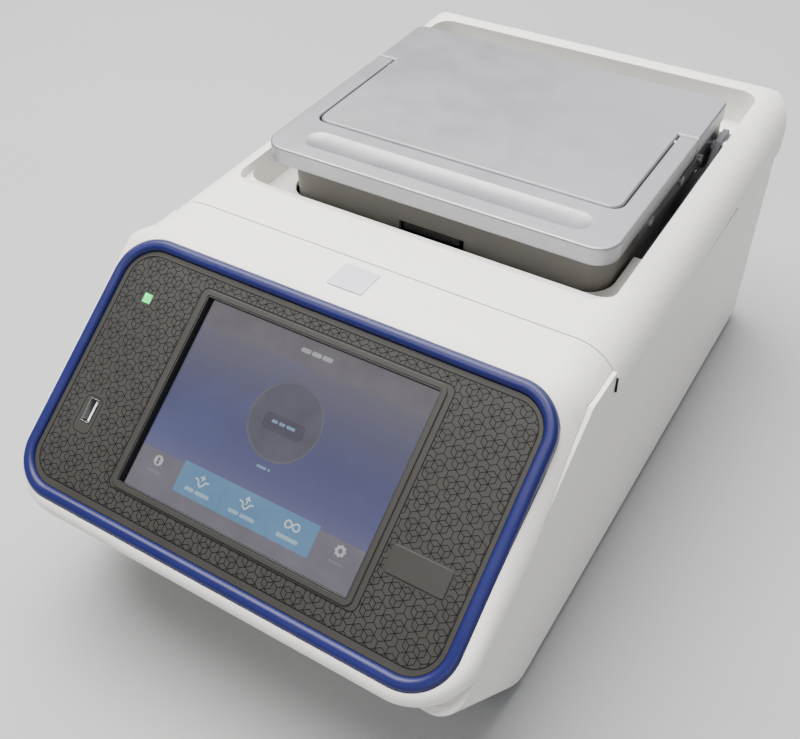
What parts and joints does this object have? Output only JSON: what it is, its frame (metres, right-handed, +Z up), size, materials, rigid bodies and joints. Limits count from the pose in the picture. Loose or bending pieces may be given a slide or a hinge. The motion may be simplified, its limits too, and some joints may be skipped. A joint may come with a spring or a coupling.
{
  "type": "thermal cycler",
  "caption": "Bench-top thermal cycler with a sloping touch display, a lift-out block module and a hinged heated lid with a U-shaped handle.",
  "frame": {"origin": "on the bench, under the middle of the bounding box", "axes": "+Z up, -Y to the front where the display faces, +X to the right seen from the front"},
  "size_m": [0.272, 0.4494, 0.1928],
  "materials": {
    "white_plastic": "satin",
    "blue_plastic": "satin",
    "bezel_plastic": "matte",
    "display_glass": "gloss",
    "display_metal": "matte",
    "light_pipe": "gloss",
    "circuit_board": "satin",
    "electronic_parts": "matte",
    "steel_sheet": "satin",
    "dark_steel": "satin",
    "screw_steel": "satin",
    "black_plastic": "matte",
    "foot_rubber": "matte",
    "grey_plastic": "matte",
    "silver_lid": "satin metallic",
    "block_aluminium": "machined",
    "fin_aluminium": "matte",
    "ceramic": "matte",
    "seal_silicone": "matte",
    "platen_metal": "satin",
    "insulator": "matte",
    "contact_metal": "satin"
  },
  "bodies": {
    "base_unit": {"front_cover": "white_plastic", "top_cover": "white_plastic", "side_panel_left": "white_plastic", "side_panel_right": "white_plastic", "chin_cover": "white_plastic", "rear_panel": "steel_sheet", "base_tray": "steel_sheet", "rubber_feet": "foot_rubber", "enclosure_screws": "screw_steel", "badge_plate": "display_metal", "trim_ring": "blue_plastic", "display_bezel": "bezel_plastic", "socket_panel": "steel_sheet", "touch_glass": "display_glass", "lcd_module": "display_metal", "display_board": "circuit_board", "display_bracket": "steel_sheet", "status_light": "light_pipe", "front_usb_shell": "screw_steel", "front_usb_tongue": "black_plastic", "power_supply": "steel_sheet", "main_board": "circuit_board", "board_components": "electronic_parts", "power_inlet": "black_plastic", "inlet_blades": "contact_metal", "rear_sockets": "screw_steel", "fan_frame_left": "black_plastic", "fan_frame_right": "black_plastic", "fan_guards": "screw_steel", "module_bay_frame": "black_plastic", "docking_connector": "contact_metal"},
    "block_module": {"module_chassis": "dark_steel", "module_shroud": "grey_plastic", "module_plug": "black_plastic", "module_screws": "screw_steel", "heat_sink_base": "fin_aluminium", "heat_sink_fins": "fin_aluminium", "peltier_modules": "ceramic", "sample_block": "block_aluminium", "block_gasket": "seal_silicone", "block_surround": "grey_plastic", "hinge_bracket_left": "dark_steel", "hinge_bracket_right": "dark_steel", "hinge_pins": "screw_steel", "latch_strikes": "screw_steel"},
    "lid": {"lid_cover": "silver_lid", "lid_underframe": "grey_plastic", "lid_arm_left": "dark_steel", "lid_arm_right": "dark_steel", "lid_screws": "screw_steel", "handle_pivots": "screw_steel"},
    "handle": {"lid_handle": "silver_lid"},
    "heated_cover": {"heated_platen": "platen_metal", "platen_carrier": "insulator"},
    "latch": {"latch_hooks": "screw_steel"},
    "release_button": {"release_button": "black_plastic"},
    "power_switch": {"power_rocker": "black_plastic"},
    "fuse_tray": {"fuse_drawer": "black_plastic"},
    "fan_left": {"fan_rotor_left": "black_plastic"},
    "fan_right": {"fan_rotor_right": "black_plastic"}
  },
  "joints": [
    {"name": "module_lift", "type": "slide", "parent": "base_unit", "child": "block_module", "axis": [0, 0, 1], "range_m": [0, 0.125]},
    {"name": "lid_hinge", "type": "hinge", "parent": "block_module", "child": "lid", "pos_m": [0, 0.152, 0.167], "axis": [-1, 0, 0], "range_deg": [0, 75]},
    {"name": "handle_lift", "type": "hinge", "parent": "lid", "child": "handle", "pos_m": [0, 0.1052, 0.1898], "axis": [-1, 0, 0], "range_deg": [0, 28]},
    {"name": "cover_retract", "type": "slide", "parent": "lid", "child": "heated_cover", "axis": [0, 0, 1], "range_m": [0, 0.0052]},
    {"name": "latch_turn", "type": "hinge", "parent": "lid", "child": "latch", "pos_m": [0, 0.008, 0.1765], "axis": [1, 0, 0], "range_deg": [0, 29]},
    {"name": "release_press", "type": "slide", "parent": "block_module", "child": "release_button", "axis": [0, 1, 0], "range_m": [0, 0.004], "stiffness_N_per_m": 400},
    {"name": "switch_rock", "type": "hinge", "parent": "base_unit", "child": "power_switch", "pos_m": [-0.063, 0.2198, 0.036], "axis": [-1, 0, 0], "range_deg": [0, 14]},
    {"name": "fuse_pull", "type": "slide", "parent": "base_unit", "child": "fuse_tray", "axis": [0, 1, 0], "range_m": [0, 0.014]},
    {"name": "fan_spin_left", "type": "hinge", "parent": "base_unit", "child": "fan_left", "pos_m": [-0.05, 0.2082, 0.098], "axis": [0, 1, 0], "continuous": true},
    {"name": "fan_spin_right", "type": "hinge", "parent": "base_unit", "child": "fan_right", "pos_m": [0.05, 0.2082, 0.098], "axis": [0, 1, 0], "continuous": true}
  ],
  "couplings": [
    {"joint": "cover_retract", "follows": "handle_lift", "m_per_rad": 0.010231},
    {"joint": "latch_turn", "follows": "handle_lift", "ratio": 1}
  ]
}
